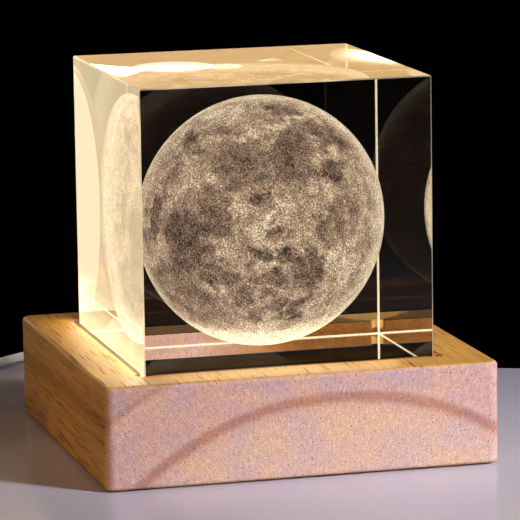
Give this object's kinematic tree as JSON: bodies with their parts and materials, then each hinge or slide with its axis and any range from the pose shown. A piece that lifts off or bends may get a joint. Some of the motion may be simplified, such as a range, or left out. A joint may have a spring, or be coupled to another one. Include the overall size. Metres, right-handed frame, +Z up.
{
  "type": "crystal cube lamp",
  "caption": "Clear glass cube with a moon ball lasered inside, standing in a lit seat in a square wooden base, with a thin lead, a rocker switch and a USB plug.",
  "frame": {"origin": "on the table, under the middle of the wooden base, measured without the lead", "axes": "+Z up, -Y towards the front, +Y towards the lead's exit at the back, +X to the right"},
  "size_m": [0.1336, 0.1314, 0.0779],
  "materials": {
    "clear_glass": "polished optical glass",
    "engraved_glass": "fine laser marks inside the glass",
    "oiled_wood": "sanded and oiled",
    "opal_acrylic": "opal, lit from below",
    "white_board": "white solder mask",
    "lamp_case": "moulded",
    "phosphor": "silicone with phosphor, lit",
    "black_ceramic": "fired",
    "zinc_steel": "zinc plated",
    "solder": "bright solder",
    "red_wire": "insulated",
    "black_wire": "insulated",
    "switch_core": "insulated",
    "black_abs": "fine moulded texture",
    "clear_silicone": "translucent",
    "white_pvc": "smooth satin",
    "black_nylon": "moulded",
    "tie_plastic": "plastic over wire",
    "white_abs": "moulded",
    "contact_brass": "stamped",
    "nickel_shell": "nickel plated, stamped",
    "plug_insulator": "moulded",
    "gold_contact": "gold plated"
  },
  "bodies": {
    "base": {"wood_base": "oiled_wood", "light_window": "opal_acrylic", "led_board": "white_board", "led_packages": "lamp_case", "led_phosphor": "phosphor", "board_resistors": "black_ceramic", "board_screws": "zinc_steel", "solder_joints": "solder", "lead_wire_red": "red_wire", "lead_wire_black": "black_wire", "bottom_cover": "black_abs", "cover_screws": "zinc_steel", "silicone_feet": "clear_silicone", "cable_grommet": "white_pvc", "cable_inner": "white_pvc", "cable_stop": "black_nylon", "usb_cable": "white_pvc", "switch_lower_shell": "white_abs", "switch_upper_shell": "white_abs", "switch_terminals": "contact_brass", "switch_wires": "switch_core", "cable_link": "white_pvc", "cable_coil": "white_pvc", "cable_tie": "tie_plastic", "cable_tail": "white_pvc", "plug_overmould": "white_pvc", "plug_shell": "nickel_shell", "plug_insulator": "plug_insulator", "plug_contacts": "gold_contact"},
    "crystal": {"crystal_cube": "clear_glass", "engraved_moon": "engraved_glass"},
    "rocker": {"switch_rocker": "white_abs", "rocker_contact": "contact_brass"}
  },
  "joints": [
    {"name": "cube_lift", "type": "slide", "parent": "base", "child": "crystal", "axis": [0, 0, 1], "range_m": [0, 0.05]},
    {"name": "switch_rock", "type": "hinge", "parent": "base", "child": "rocker", "pos_m": [-0.058, 0.045, 0.0065], "axis": [1, 0, 0], "range_deg": [0, 18]}
  ]
}
